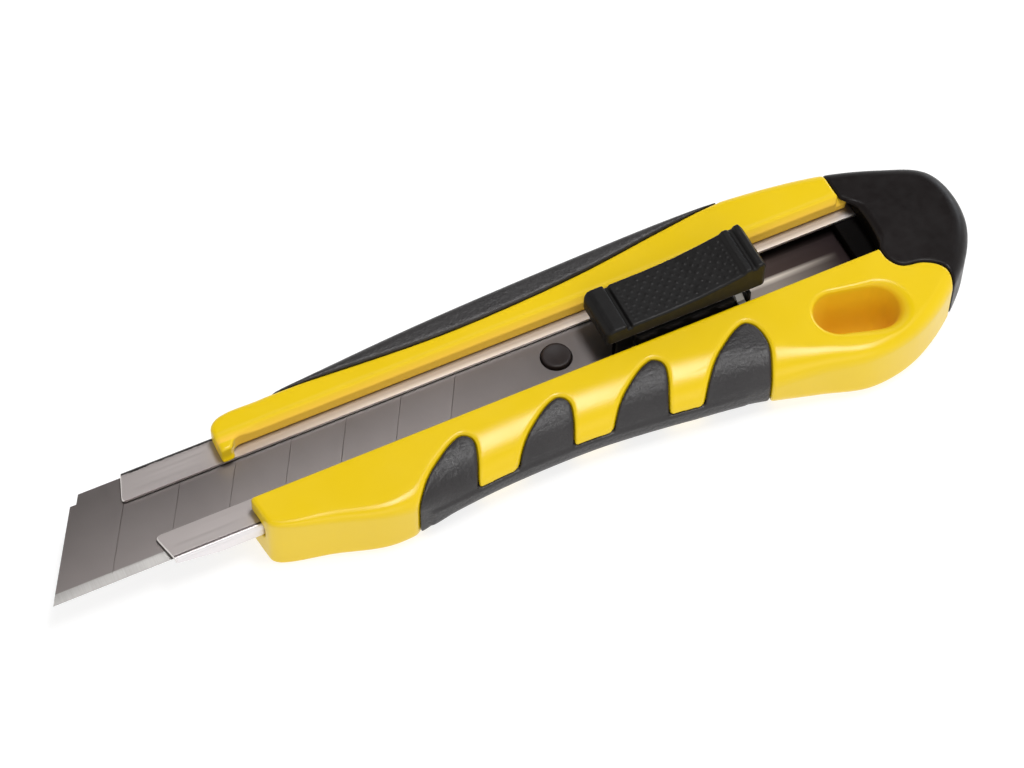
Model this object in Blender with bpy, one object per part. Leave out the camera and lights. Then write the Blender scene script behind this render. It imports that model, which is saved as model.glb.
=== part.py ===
"""Snap-off utility knife: a moulded handle around a steel blade channel, with a spring-locked slider.

Lengths below are in millimetres and become metres where a mesh is made. The knife lies on its rear
face: +X runs from the blade's tip to the tail, +Y points to the spine, and +Z out of the front face.
The origin is under the middle of the knife, on the rear face.
"""

import math

import bmesh
import bpy
from mathutils import Vector
from mathutils.geometry import interpolate_bezier

MM = 0.001
GAP = 0.3

LENGTH = 171.0
HANDLE_THICKNESS = 12.0
GRIP_DEPTH = 1.8

SLOT_Y = 4.75
SLOT_WIDTH = 12.1
NOSE_FOOT_X = -48.3

BLADE_WIDTH = 18.0
BLADE_EDGE_LENGTH = 100.0
BLADE_THICKNESS = 0.5
BLADE_BEVEL = 1.8
BLADE_HOLE_RADIUS = 2.8
SCORE_PITCH = 10.0
SCORE_COUNT = 7
TIP_X = -LENGTH / 2
EDGE_Y = -4.0
BLADE_TOP_Z = 7.8
SCORE_LEAN = math.tan(math.radians(30))

SHEET = 0.5
CHANNEL_WIDTH = 19.8
CHANNEL_CORNER = 1.0
CHANNEL_FRONT_X = -68.6
CHANNEL_BACK_X = 69.0
CHANNEL_BACK_Z = 5.3
CHANNEL_LIP_Z = 8.6
LIP_OPENING = 8.5

DETENT_PITCH = 5.0
DETENT_WIDTH = 1.8
DETENT_DEPTH = 1.1
LOCK_X = 42.1

PIN_X = 8.8
PIN_RADIUS = 2.55
SLIDER_BACK_X = 43.9
PAD_FRONT_X = 15.7
PAD_BACK_X = 46.0
PAD_WIDTH = 9.6
PAD_BASE_Z = 12.7

GRIP_COUNT = 4
FIRST_GRIP_X = -14.0
GRIP_PITCH = 17.6
GRIP_TOP_Y = -5.0
BELLY_RIB_Z = (2.9, 7.1)

HOLE_CENTRE = (57.9, -10.6)
HOLE_SIZE = (15.6, 8.6)
HOLE_TILT = math.radians(-12)

# The handle seen from the front, anticlockwise from the nose's lower corner: x, y and edge radius.
HANDLE_OUTLINE = (
    (-49.1, -6.6, 0.8),
    (-47.2, -8.4, 0.9),
    (-39.4, -10.7, 1.6),
    (-31.0, -13.4, 2.0),
    (-25.5, -13.9, 3.0),
    (-18.0, -13.5, 5.4),
    (-4.0, -12.6, 5.6),
    (12.0, -12.9, 5.6),
    (34.5, -15.8, 5.4),
    (47.5, -18.2, 3.5),
    (57.0, -20.2, 2.4),
    (67.1, -18.1, 2.4),
    (78.3, -10.5, 2.6),
    (84.1, -2.9, 3.0),
    (LENGTH / 2, 4.8, 3.0),
    (83.4, 10.9, 3.0),
    (76.4, 14.5, 2.6),
    (66.7, 17.6, 2.2),
    (55.0, 19.4, 1.8),
    (42.0, 20.2, 1.5),
    (19.5, 19.9, 1.5),
    (-10.5, 18.7, 1.5),
    (-40.5, 16.4, 1.5),
    (-48.0, 15.8, 0.9),
    (-50.3, 13.6, 0.8),
)

# Edges of the soft grips and of the tail cap, seen from the front.
SPINE_GRIP_EDGE = (
    (-43.0, 16.6),
    (-33.5, 16.0),
    (-10.5, 14.8),
    (4.5, 15.1),
    (19.5, 16.2),
    (34.5, 18.2),
    (47.0, 19.8),
)
FINGER_GRIP_SIDES = (
    (-17.1, -16),
    (-8.8, -5.9),
    (-5.2, -2.8),
    (0, 0),
    (1.8, -1.2),
    (1.5, -3.9),
    (-0.2, -8),
    (-2.5, -16),
)
LAST_GRIP_SIDES = (
    (-17.1, -16),
    (-8.8, -5.9),
    (-5.2, -2.8),
    (0, 0),
    (1.8, -1.4),
    (2.1, -5.4),
    (0.4, -10),
    (-2.6, -16),
)
CAP_EDGE = (
    (66.6, 22.0),
    (66.5, 11.4),
    (67.2, 10.4),
    (68.3, 8.4),
    (68.5, 4.0),
    (68.0, 0.0),
    (67.5, -1.4),
    (67.7, -4.0),
    (69.2, -6.0),
    (72.5, -6.8),
    (74.9, -8.4),
    (75.9, -10.6),
    (75.6, -13.0),
    (74.2, -24.0),
)


def clear_scene():
    for old in list(bpy.data.objects):
        bpy.data.objects.remove(old, do_unlink=True)


def material(name, colour, roughness, metallic=0.0):
    made = bpy.data.materials.new(name)
    made.use_nodes = True
    shader = made.node_tree.nodes["Principled BSDF"]
    shader.inputs["Base Color"].default_value = (*colour, 1.0)
    shader.inputs["Roughness"].default_value = roughness
    shader.inputs["Metallic"].default_value = metallic
    return made


def object_from(name, points, faces):
    """Makes an object of these points, in millimetres, with its faces turned outward."""
    mesh = bpy.data.meshes.new(name)
    mesh.from_pydata([Vector(point) * MM for point in points], [], faces)
    work = bmesh.new()
    work.from_mesh(mesh)
    bmesh.ops.recalc_face_normals(work, faces=work.faces)
    work.to_mesh(mesh)
    work.free()
    made = bpy.data.objects.new(name, mesh)
    bpy.context.scene.collection.objects.link(made)
    return made


def stacked_rings(name, rings):
    """Skins rings of equally many points, one after another, and closes both ends."""
    count = len(rings[0])
    points = [point for ring in rings for point in ring]
    faces = [list(range(count))[::-1], list(range(len(points) - count, len(points)))]
    for ring in range(len(rings) - 1):
        for i in range(count):
            here, after = ring * count + i, ring * count + (i + 1) % count
            faces.append([here, after, after + count, here + count])
    return object_from(name, points, faces)


def prism(name, outline, low, high):
    """An outline in X and Y, raised from z = low to z = high."""
    return stacked_rings(name, [[(x, y, z) for x, y in outline] for z in (low, high)])


def side_prism(name, outline, low, high):
    """An outline in X and Z, drawn out from y = low to y = high."""
    return stacked_rings(name, [[(x, y, z) for x, z in outline] for y in (low, high)])


def box(name, x, y, z):
    return prism(name, [(x[0], y[0]), (x[1], y[0]), (x[1], y[1]), (x[0], y[1])], *z)


def cylinder(name, centre, radius, low, high, sides=40):
    turns = [2 * math.pi * i / sides for i in range(sides)]
    outline = [(centre[0] + radius * math.cos(t), centre[1] + radius * math.sin(t)) for t in turns]
    return prism(name, outline, low, high)


def combine(target, operation, tool):
    """Adds a Boolean of the tool, which becomes a hidden helper."""
    modifier = target.modifiers.new(f"{operation.lower()} {tool.name}", "BOOLEAN")
    modifier.operation = operation
    modifier.solver = "EXACT"
    modifier.object = tool
    tool.hide_render = True
    tool.display_type = "WIRE"
    return target


def cut(target, *tools):
    for tool in tools:
        combine(target, "DIFFERENCE", tool)
    return target


def join(target, *tools):
    for tool in tools:
        combine(target, "UNION", tool)
    return target


def finish(made, finish_material, smooth_below=35):
    made.data.materials.append(finish_material)
    made.data.shade_smooth()
    made.data.set_sharp_from_angle(angle=math.radians(smooth_below))
    return made


def smooth_path(points, steps, closed=False):
    """Points along a smooth curve through the given ones, with any number of values in each point."""
    count = len(points)
    vectors = [Vector(point) for point in points]
    path = []
    for i in range(count if closed else count - 1):
        if closed:
            before, start, end, after = (vectors[(i + k) % count] for k in (-1, 0, 1, 2))
        else:
            before, start, end, after = (vectors[min(max(i + k, 0), count - 1)] for k in (-1, 0, 1, 2))
        reach = (end - start).length / 3
        out = (end - before).normalized() * reach
        back = (after - start).normalized() * reach
        path += interpolate_bezier(start, start + out, end - back, end, steps + 1)[:-1]
    return path if closed else path + [vectors[-1]]


def rounded_rectangle(x, y, radius, steps=4):
    corners = ((x[1], y[0], -90), (x[1], y[1], 0), (x[0], y[1], 90), (x[0], y[0], 180))
    outline = []
    for corner_x, corner_y, start in corners:
        centre_x = corner_x - math.copysign(radius, corner_x - sum(x) / 2)
        centre_y = corner_y - math.copysign(radius, corner_y - sum(y) / 2)
        for step in range(steps + 1):
            turn = math.radians(start + 90 * step / steps)
            outline.append((centre_x + radius * math.cos(turn), centre_y + radius * math.sin(turn)))
    return outline


def pillow(name, inset=0.0, steps=4, levels=4):
    """The handle's outer form, or one that lies `inset` inside it: an outline with rounded edges."""
    outline = smooth_path(HANDLE_OUTLINE, steps, closed=True)
    count = len(outline)
    inward = []
    for i in range(count):
        along = (outline[(i + 1) % count] - outline[i - 1]).to_2d().normalized()
        inward.append(Vector((-along.y, along.x)))
    half = HANDLE_THICKNESS / 2 - inset
    rings = []
    for side in (-1, 1):
        order = range(levels, -1, -1) if side < 0 else range(levels + 1)
        for level in order:
            turn = math.pi / 2 * level / levels
            ring = []
            for point, normal in zip(outline, inward):
                radius = max(point.z - inset, 0.4)
                place = point.to_2d() + normal * (inset + radius * (1 - math.cos(turn)))
                height = half - radius * (1 - math.sin(turn))
                ring.append((place.x, place.y, HANDLE_THICKNESS / 2 + side * height))
            rings.append(ring)
    return stacked_rings(name, rings)


def grip_zone(name, margin=0.0):
    """The block in which the finger grip lies: four leaning fingers and the rib that joins them."""
    rib_x = (FIRST_GRIP_X - 9 - margin, FIRST_GRIP_X + 3 * GRIP_PITCH - 4 + margin)
    rib_z = (BELLY_RIB_Z[0] - margin, BELLY_RIB_Z[1] + margin)
    zone = box(name, rib_x, (-26, -9.5), rib_z)
    for number in range(GRIP_COUNT):
        sides = LAST_GRIP_SIDES if number == GRIP_COUNT - 1 else FINGER_GRIP_SIDES
        path = smooth_path(sides, 4)
        if margin:
            path = widened(path, margin)
        top_x = FIRST_GRIP_X + number * GRIP_PITCH
        outline = [(top_x + x, GRIP_TOP_Y + y) for x, y in path]
        join(zone, prism(f"{name} finger {number + 1}", outline, -2, HANDLE_THICKNESS + 2))
    return zone


def widened(path, margin):
    """Moves an open, clockwise path outward by the margin."""
    moved = []
    last = len(path) - 1
    for i, point in enumerate(path):
        along = (path[min(i + 1, last)] - path[max(i - 1, 0)]).normalized()
        moved.append(point + Vector((-along.y, along.x)) * margin)
    return moved


def spine_zone(name, margin=0.0):
    edge = [(x, y - margin) for x, y in smooth_path(SPINE_GRIP_EDGE, 4)]
    edge[0] = (edge[0][0] - margin, edge[0][1])
    edge[-1] = (edge[-1][0] + margin, edge[-1][1])
    return prism(name, edge + [(edge[-1][0], 26), (edge[0][0], 26)], -2, HANDLE_THICKNESS + 2)


def cap_zone(name, margin=0.0):
    edge = [(x - margin, y) for x, y in CAP_EDGE]
    return prism(name, edge + [(100, -24), (100, 22)], -2, HANDLE_THICKNESS + 2)


def hanging_hole():
    half_x, half_y = HOLE_SIZE[0] / 2, HOLE_SIZE[1] / 2
    outline = rounded_rectangle((-half_x, half_x), (-half_y, half_y), half_y - 0.05, steps=8)
    cosine, sine = math.cos(HOLE_TILT), math.sin(HOLE_TILT)
    centre_x, centre_y = HOLE_CENTRE
    turned = [(centre_x + x * cosine - y * sine, centre_y + x * sine + y * cosine) for x, y in outline]
    return prism("hole_cutter", turned, -2, HANDLE_THICKNESS + 2)


def channel_bar(name, margin, front_x, back_x):
    """A bar with the channel's cross-section, larger by the margin, or smaller by a negative one."""
    half = CHANNEL_WIDTH / 2 + margin
    z = (CHANNEL_BACK_Z - margin, CHANNEL_LIP_Z + margin)
    section = rounded_rectangle((SLOT_Y - half, SLOT_Y + half), z, CHANNEL_CORNER + margin)
    return stacked_rings(name, [[(x, y, z) for y, z in section] for x in (front_x, back_x)])


def handle_body(plastic):
    body = pillow("handle_body")
    half_slot = SLOT_WIDTH / 2
    slot_z = (CHANNEL_LIP_Z - 0.5, HANDLE_THICKNESS + 2)
    slot_y = (SLOT_Y - half_slot, SLOT_Y + half_slot)
    nose_y = (SLOT_Y - half_slot, SLOT_Y + LIP_OPENING / 2)
    grip_recess = cut(grip_zone("grip_recess", GAP), pillow("grip_floor", GRIP_DEPTH + GAP))
    spine_recess = cut(spine_zone("spine_recess", GAP), pillow("spine_floor", GRIP_DEPTH + GAP))
    cut(body, channel_bar("channel_pocket", GAP, -60, 90))
    cut(body, box("slot_cutter", (NOSE_FOOT_X, 90), slot_y, slot_z))
    cut(body, box("nose_slot_cutter", (-60, NOSE_FOOT_X + 1), nose_y, slot_z))
    cut(body, cap_zone("cap_recess", GAP), grip_recess, spine_recess, hanging_hole())
    return finish(body, plastic)


def finger_grip(rubber):
    grip = combine(pillow("finger_grip"), "INTERSECT", grip_zone("grip_shape"))
    return finish(cut(grip, pillow("grip_core", GRIP_DEPTH)), rubber)


def spine_grip(rubber):
    grip = combine(pillow("spine_grip"), "INTERSECT", spine_zone("spine_shape"))
    return finish(cut(grip, pillow("spine_core", GRIP_DEPTH)), rubber)


def tail_cap(plastic):
    """The cap wraps the handle's tail, and its tongue reaches into the channel between floor and lips."""
    cap = combine(pillow("tail_cap"), "INTERSECT", cap_zone("cap_shape"))
    cut(cap, channel_bar("channel_end_room", GAP, 60, CHANNEL_BACK_X + GAP))
    half = CHANNEL_WIDTH / 2 - SHEET - GAP
    tongue_z = (CHANNEL_BACK_Z + SHEET + 0.25, CHANNEL_LIP_Z - SHEET - 0.25)
    join(cap, box("cap_tongue", (64.6, CHANNEL_BACK_X + 3), (SLOT_Y - half, SLOT_Y + half), tongue_z))
    return finish(cap, plastic)


def blade_channel(steel):
    """A folded steel strip: a floor, two walls and two lips that the blade slides behind."""
    channel = channel_bar("blade_channel", 0, CHANNEL_FRONT_X, CHANNEL_BACK_X)
    opening_y = (SLOT_Y - LIP_OPENING / 2, SLOT_Y + LIP_OPENING / 2)
    cut(channel, channel_bar("channel_inside", -SHEET, -90, 90))
    cut(channel, box("lip_gap", (-90, 90), opening_y, (CHANNEL_LIP_Z - SHEET - 0.3, CHANNEL_LIP_Z + 1)))
    return finish(cut(channel, *channel_nose_cutters(opening_y), *detent_cutters(opening_y[0])), steel)


def channel_nose_cutters(opening_y):
    """The lips end in slanted noses, and the floor and walls are cut back behind them on a slope."""
    front = CHANNEL_FRONT_X
    upper = ((-90, opening_y[1] - 1), (front - 0.2, opening_y[1] - 1), (front + 3.0, 17), (-90, 17))
    lower = ((-90, -7), (front + 4.4, -7), (front + 2.2, opening_y[0] + 1), (-90, opening_y[0] + 1))
    slope = (
        (-90, 4),
        (front + 17, 4),
        (front + 14, CHANNEL_BACK_Z + 0.3),
        (front + 8, 6.9),
        (front + 3, 7.8),
        (-90, 7.8),
    )
    return (
        prism("upper_nose_cutter", upper, 4, 10),
        prism("lower_nose_cutter", lower, 4, 10),
        side_prism("floor_nose_cutter", slope, -8, 18),
    )


def detent_cutters(lip_edge_y):
    """Notches in the lower lip's edge, one of which holds the lock spring's tooth."""
    cutters = []
    for step in range(-11, 5):
        middle = LOCK_X + step * DETENT_PITCH
        x = (middle - DETENT_WIDTH / 2, middle + DETENT_WIDTH / 2)
        y = (lip_edge_y - DETENT_DEPTH, lip_edge_y + 1)
        cutters.append(box(f"detent_cutter_{step + 12}", x, y, (7.9, 9)))
    return cutters


def blade(steel):
    """A slanted strip with a bevelled edge, a clipped first corner, score lines and a hole for the pin."""
    middle_z = BLADE_TOP_Z - BLADE_THICKNESS / 2
    half = BLADE_THICKNESS / 2
    section = ((0, 0), (BLADE_BEVEL, -half), (BLADE_WIDTH, -half), (BLADE_WIDTH, half), (BLADE_BEVEL, half))
    ends = []
    for start in (TIP_X, TIP_X + BLADE_EDGE_LENGTH):
        ends.append([(start + y * SCORE_LEAN, EDGE_Y + y, middle_z + z) for y, z in section])
    made = stacked_rings("blade", ends)
    low = EDGE_Y + BLADE_WIDTH - 1.7
    high = low + 2.6
    front = TIP_X + (BLADE_WIDTH - 1.7) * SCORE_LEAN
    notch = ((front - 3, low), (front + 1.1, low), (front + 2.6, high), (front - 3, high))
    cut(made, prism("tip_notch_cutter", notch, 6, 8))
    cut(made, cylinder("blade_hole_cutter", (PIN_X, SLOT_Y), BLADE_HOLE_RADIUS, 6, 8))
    return finish(cut(made, *score_cutters()), steel, 20)


def score_cutters():
    """Shallow V grooves across the front face, where the used segments snap off."""
    width, depth = 0.35, 0.12
    cutters = []
    for number in range(1, SCORE_COUNT + 1):
        ends = []
        for y in (-1, BLADE_WIDTH + 1):
            x = TIP_X + number * SCORE_PITCH + y * SCORE_LEAN
            groove = ((-width, depth), (0, -depth), (width, depth))
            ends.append([(x + across, EDGE_Y + y, BLADE_TOP_Z + up) for across, up in groove])
        cutters.append(stacked_rings(f"score_cutter_{number}", ends))
    return cutters


def blade_carrier(plastic):
    """The slider's base: a tongue with the pin under the blade, a block behind it, rails and a post."""
    floor_z = CHANNEL_BACK_Z + SHEET + 0.25
    block_z = CHANNEL_LIP_Z - SHEET - 0.25
    low_y, high_y = SLOT_Y - 9.0, SLOT_Y + 9.0
    tail_x = TIP_X + BLADE_EDGE_LENGTH + 0.6
    front_low = tail_x + (low_y - EDGE_Y) * SCORE_LEAN
    front_high = tail_x + (high_y - EDGE_Y) * SCORE_LEAN
    block = ((front_low, low_y), (SLIDER_BACK_X, low_y), (SLIDER_BACK_X, high_y), (front_high, high_y))
    carrier = prism("blade_carrier", block, floor_z, block_z)
    tongue_z = (floor_z, BLADE_TOP_Z - BLADE_THICKNESS - 0.25)
    join(carrier, box("carrier_tongue", (3, 28), (-0.6, 10.1), tongue_z))
    join(carrier, cylinder("carrier_pin", (PIN_X, SLOT_Y), PIN_RADIUS, floor_z, BLADE_TOP_Z + 0.8))
    join(carrier, box("lower_rail", (22, 40.8), (0.9, 2.1), (block_z - 0.5, 10.4)))
    join(carrier, box("rear_post", (43.1, SLIDER_BACK_X), (0.9, 2.1), (block_z - 0.5, 10.4)))
    join(carrier, box("upper_rail", (22, 43.6), (7.4, 8.6), (block_z - 0.5, 10.4)))
    return finish(carrier, plastic)


def lock_spring(steel):
    """A bowed leaf under the pad, a side tooth in a notch of the channel's lower lip, and a slanted tab."""
    sheet, low_y, high_y = 0.25, 2.9, 6.6
    foot_z, crown_z = CHANNEL_LIP_Z - SHEET - 0.25 + GAP, 8.75
    steps = 16
    start_x, end_x = 23.0, 43.0
    lower = []
    for step in range(steps + 1):
        share = step / steps
        bow = math.sin(math.pi * min(share / 0.9, 1.0)) ** 2
        lower.append((start_x + share * (end_x - start_x), foot_z + (crown_z - sheet - foot_z) * bow))
    outline = lower + [(x, z + sheet) for x, z in reversed(lower)]
    spring = side_prism("lock_spring", outline, low_y, high_y)
    arm_x = (LOCK_X - 0.7, LOCK_X + 0.7)
    join(spring, box("lock_arm", arm_x, (1.2, low_y + 0.6), (foot_z, foot_z + sheet)))
    join(spring, box("lock_tooth", arm_x, (-0.3, 1.4), (foot_z, foot_z + 0.5)))
    tab = ((0.8, foot_z + 0.05), (1.4, foot_z + 0.05), (2.9, 9.35), (2.7, 9.6), (0.8, 8.4))
    join(spring, stacked_rings("lock_tab", [[(x, y, z) for y, z in tab] for x in arm_x]))
    return finish(spring, steel)


def thumb_pad(plastic):
    """The button: a saddle-shaped top that the thumb pushes down and along, on a stem."""
    side = (
        (PAD_FRONT_X, PAD_BASE_Z),
        (PAD_BACK_X, PAD_BASE_Z),
        (PAD_BACK_X, 18.4),
        (45.6, 18.8),
        (43.9, 18.8),
        (43.6, 18.2),
        (41.9, 18.0),
        (38.0, 17.1),
        (33.0, 16.2),
        (27.0, 15.75),
        (20.8, 15.7),
        (20.4, 15.2),
        (20.0, 15.2),
        (19.6, 16.1),
        (17.0, 16.1),
        (16.1, 15.6),
    )
    half = PAD_WIDTH / 2
    pad = side_prism("thumb_pad", side, SLOT_Y - half, SLOT_Y + half)
    bevel = pad.modifiers.new("soft edges", "BEVEL")
    bevel.width = 0.5 * MM
    bevel.segments = 2
    bevel.limit_method = "ANGLE"
    bevel.angle_limit = math.radians(60)
    join(pad, box("pad_stem", (23.2, 40.5), (2.5, 7.0), (9.15, PAD_BASE_Z + 1)))
    return finish(pad, plastic)


def main():
    clear_scene()
    yellow = material("yellow_abs", (0.90, 0.66, 0.0), 0.35)
    soft_black = material("soft_black_rubber", (0.045, 0.042, 0.045), 0.7)
    hard_black = material("black_plastic", (0.02, 0.02, 0.022), 0.45)
    channel_steel = material("channel_steel", (0.62, 0.60, 0.58), 0.3, 1.0)
    blade_steel = material("blade_steel", (0.42, 0.39, 0.37), 0.35, 1.0)
    spring_steel = material("spring_steel", (0.75, 0.74, 0.72), 0.25, 1.0)
    handle_body(yellow)
    spine_grip(soft_black)
    finger_grip(soft_black)
    tail_cap(hard_black)
    blade_channel(channel_steel)
    blade(blade_steel)
    blade_carrier(hard_black)
    lock_spring(spring_steel)
    thumb_pad(hard_black)


main()
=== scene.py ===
"""Looks of the snap-off utility knife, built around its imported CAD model.

Lengths are in millimetres and become metres where a mesh is made. The moulded pieces are
described as distance fields, negative inside, because every edge of a moulding is rounded into
the next. A skin is then laid over each field. The steel pieces are drawn directly.
"""

import math

import bmesh
import bpy
import numpy as np
from mathutils import Matrix, Vector
from mathutils.geometry import interpolate_bezier


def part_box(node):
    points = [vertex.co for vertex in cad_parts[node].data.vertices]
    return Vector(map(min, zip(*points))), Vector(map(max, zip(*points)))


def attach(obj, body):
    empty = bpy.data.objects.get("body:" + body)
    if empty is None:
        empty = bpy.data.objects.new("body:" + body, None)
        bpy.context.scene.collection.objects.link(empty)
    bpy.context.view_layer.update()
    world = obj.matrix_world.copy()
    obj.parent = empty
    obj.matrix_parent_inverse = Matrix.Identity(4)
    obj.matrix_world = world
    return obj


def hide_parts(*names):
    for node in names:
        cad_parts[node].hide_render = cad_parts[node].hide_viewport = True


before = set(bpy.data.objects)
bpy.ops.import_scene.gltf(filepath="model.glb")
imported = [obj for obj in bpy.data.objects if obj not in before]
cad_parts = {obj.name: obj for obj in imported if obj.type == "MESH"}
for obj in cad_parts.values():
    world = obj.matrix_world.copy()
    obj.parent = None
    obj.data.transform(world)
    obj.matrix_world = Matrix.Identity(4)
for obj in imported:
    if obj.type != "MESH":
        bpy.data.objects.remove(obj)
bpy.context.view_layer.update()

MM = 0.001


def node_box(name):
    """A CAD node's lowest and highest corners, in millimetres."""
    low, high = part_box(name)
    return np.array(low) / MM, np.array(high) / MM


body_low, body_high = node_box("handle_body")
cap_low, cap_high = node_box("tail_cap")
channel_low, channel_high = node_box("blade_channel")
blade_low, blade_high = node_box("blade")
carrier_low, carrier_high = node_box("blade_carrier")
pad_low, pad_high = node_box("thumb_pad")

# The camera: a long lens, well above the knife and towards the blade's end.
CAMERA_ELEVATION = math.radians(55.54)
CAMERA_AZIMUTH = math.radians(26.58)
CAMERA_ROLL = math.radians(0.83)
CAMERA_DISTANCE = 576.1
CAMERA_AIM = (-1.59, 0.48, 12.0)
CAMERA_LENS = 121.96

THICKNESS = body_high[2]
MIDDLE_Z = THICKNESS / 2
SLOT_Y = (channel_low[1] + channel_high[1]) / 2
SLOT_HALF = 6.05
TAIL_X = cap_high[0]

# The handle seen from the front, anticlockwise from the nose's lower corner: x, y and edge radius.
HANDLE_OUTLINE = (
    (-49.1, -6.6, 0.7),
    (-47.2, -8.4, 0.8),
    (-39.4, -10.7, 1.6),
    (-31.0, -13.4, 2.0),
    (-25.5, -13.9, 3.0),
    (-18.0, -13.5, 5.4),
    (-4.0, -12.6, 5.6),
    (12.0, -12.9, 5.6),
    (34.5, -15.8, 5.4),
    (47.5, -18.2, 3.5),
    (57.0, -20.2, 2.4),
    (67.1, -18.1, 2.4),
    (78.3, -10.5, 2.6),
    (84.1, -2.9, 3.0),
    (TAIL_X - 0.04, 4.8, 3.0),
    (83.4, 10.9, 3.0),
    (76.4, 14.5, 2.6),
    (66.7, 17.6, 2.2),
    (55.0, 19.4, 1.8),
    (42.0, 20.2, 1.5),
    (19.5, 19.9, 1.5),
    (-10.5, 18.7, 1.5),
    (-40.5, 16.4, 1.5),
    (-48.0, 15.8, 0.8),
    (-50.3, 13.6, 0.7),
)
SPINE_GRIP_EDGE = (
    (-43.0, 16.6),
    (-33.5, 16.0),
    (-10.5, 14.8),
    (4.5, 15.1),
    (19.5, 16.2),
    (34.5, 18.2),
    (47.0, 19.8),
)
FINGER_GRIP_SIDES = (
    (-17.1, -16),
    (-8.8, -5.9),
    (-5.2, -2.8),
    (0, 0),
    (1.8, -1.2),
    (1.5, -3.9),
    (-0.2, -8),
    (-2.5, -16),
)
LAST_GRIP_SIDES = (
    (-17.1, -16),
    (-8.8, -5.9),
    (-5.2, -2.8),
    (0, 0),
    (1.8, -1.4),
    (2.1, -5.4),
    (0.4, -10),
    (-2.6, -16),
)
CAP_EDGE = (
    (66.6, 22.0),
    (66.5, 11.4),
    (67.2, 10.4),
    (68.3, 8.4),
    (68.5, 4.0),
    (68.0, 0.0),
    (67.5, -1.4),
    (67.7, -4.0),
    (69.2, -6.0),
    (72.5, -6.8),
    (74.9, -8.4),
    (75.9, -10.6),
    (75.6, -13.0),
    (74.2, -24.0),
)
BELLY_STRETCH = 0.4
GRIP_COUNT = 4
FIRST_GRIP_X = -14.0
GRIP_PITCH = 17.6
LAST_GRIP_X = FIRST_GRIP_X + (GRIP_COUNT - 1) * GRIP_PITCH - 4
GRIP_TOP_Y = -5.0
GRIP_DEPTH = 1.8
BELLY_RIB_Z = (2.9, 7.1)
HOLE_CENTRE = (57.9, -10.6)
HOLE_SIZE = (15.6, 8.6)
HOLE_TILT = math.radians(-12)
HOLE_DRAFT = 0.20
HOLE_RIM = (0.5, 2.5)
HOLE_RIM_TOWARDS = (0.5, -0.86)
SEAM = 0.12
POCKET_GAP = 0.3
POCKET_CORNER = 1.2
CAP_SKIN = 0.95
CAP_EDGE_RADIUS = 1.5
CAP_EDGE_THINNING = 1.05

# Rounding of the edges round each recess and seam of the yellow body.
FINGER_RECESS_EDGE = 0.6
RIB_RECESS_EDGE = 0.3
SPINE_RECESS_EDGE = 0.4
CAP_SEAM_EDGE = 0.35

# Sampling of the fields, and places that are surely beyond the knife's ends, back and side.
HANDLE_GRID = (0.3, 0.3, 0.22)
PAD_GRID = (0.13, 0.13, 0.13)
SLIDER_GRID = (0.2, 0.2, 0.15)
GRID_MARGIN = 0.6
BEYOND_TIP = -90.0
BEYOND_TAIL = 120.0
BEYOND_SIDE = 30.0

CAP_MOUTH_X = 72.6
CAP_MOUTH_Z = 11.2
BODY_END_X = (67.6, 68.4)
NOSE_FOOT_X = -48.3
SLOPE_Y = (3.6, 5.2)
SLOT_CHAMFER = (0.9, 0.25)

# The thumb pad: its top from front to rear as x and z, and the dots on the saddle.
PAD_BASE_Z = 12.7
STEM_X = (23.2, 40.5)
STEM_Y = (2.5, 7.0)
STEM_LIFT = 0.7
PAD_TOP = (
    (15.7, 15.2),
    (16.6, 16.0),
    (17.4, 16.2),
    (19.5, 16.2),
    (19.75, 15.3),
    (20.4, 15.2),
    (20.7, 15.75),
    (27.0, 15.8),
    (33.0, 16.25),
    (38.0, 17.1),
    (41.4, 17.85),
    (42.0, 18.45),
    (42.9, 18.5),
    (43.3, 18.1),
    (43.8, 18.1),
    (44.2, 18.7),
    (45.1, 18.8),
    (46.0, 17.6),
)
SADDLE_X = (20.9, 41.3)
DOT_PITCH_X = 1.9
DOT_PITCH_Y = 1.75
DOT_RADIUS = 0.42
DOT_SINK = 0.35

SHEET = 0.5
# Clear space round what slides in the channel, alone and with the sheet added.
SLIDE_GAP = 0.25
SLIDE_INSET = SHEET + SLIDE_GAP
CHANNEL_CORNER = 1.0
LIP_OPENING = 8.5
LIP_STEPS = (0.0, 0.08, 0.25, 0.5, 1.0, 4.4)
NOSE_RADIUS = 0.8
UPPER_NOSE_LEAN = 3.2 / 9
LOWER_NOSE_LEAN = 2.2 / 8.5
CUT_BACK_Z = (5.3, 6.9, 7.8, 8.3)
CUT_BACK_X = (15.0, 8.0, 3.0, 0.0)
FOLD_STEPS = 8
DETENT_PITCH = 5.0
DETENT_WIDTH = 1.8
DETENT_DEPTH = 1.1
DETENT_STEPS = range(-11, 5)
LOCK_X = 42.1
# Where light and shade are painted on the channel's steel: a reflection band on the hidden floor, a
# highlight on the upper lip's edge, and the floor's shade.
REFLECTION_BAND_Y = (3.7, 4.7, 5.4)
LIP_HIGHLIGHT_Y = (9.1, 9.9)
LIP_HIGHLIGHT_X = (-48.0, -20.0)
REFLECTION_BAND_END_X = (50.0, 63.0)
FLOOR_SHADE_X = (48.0, 64.0)

BLADE_EDGE_LENGTH = 100.0
BLADE_BEVEL = 1.8
BLADE_HOLE_RADIUS = 2.8
HOLE_POINTS = 48
CLIP_WIDTH = 1.7
CLIP_CUTTER = ((-3, 0), (1.1, 0), (2.6, 2.6), (-3, 2.6))
SCORE_LEAN = math.tan(math.radians(30))
SCORE_PITCH = 10.0
SCORE_COUNT = 7
SCORE_WIDTH = 0.10
SCORE_DEPTH = 0.05
PIN_X = 8.8
PIN_RADIUS = 2.55
PIN_PROUD = 0.8
TONGUE_FINISH_X = 16.0
DISH_RADIUS = 9.0
DISH_DEPTH = 0.18
TONGUE_END_X = 28.0
TONGUE_Y = (-0.6, 10.1)
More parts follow.
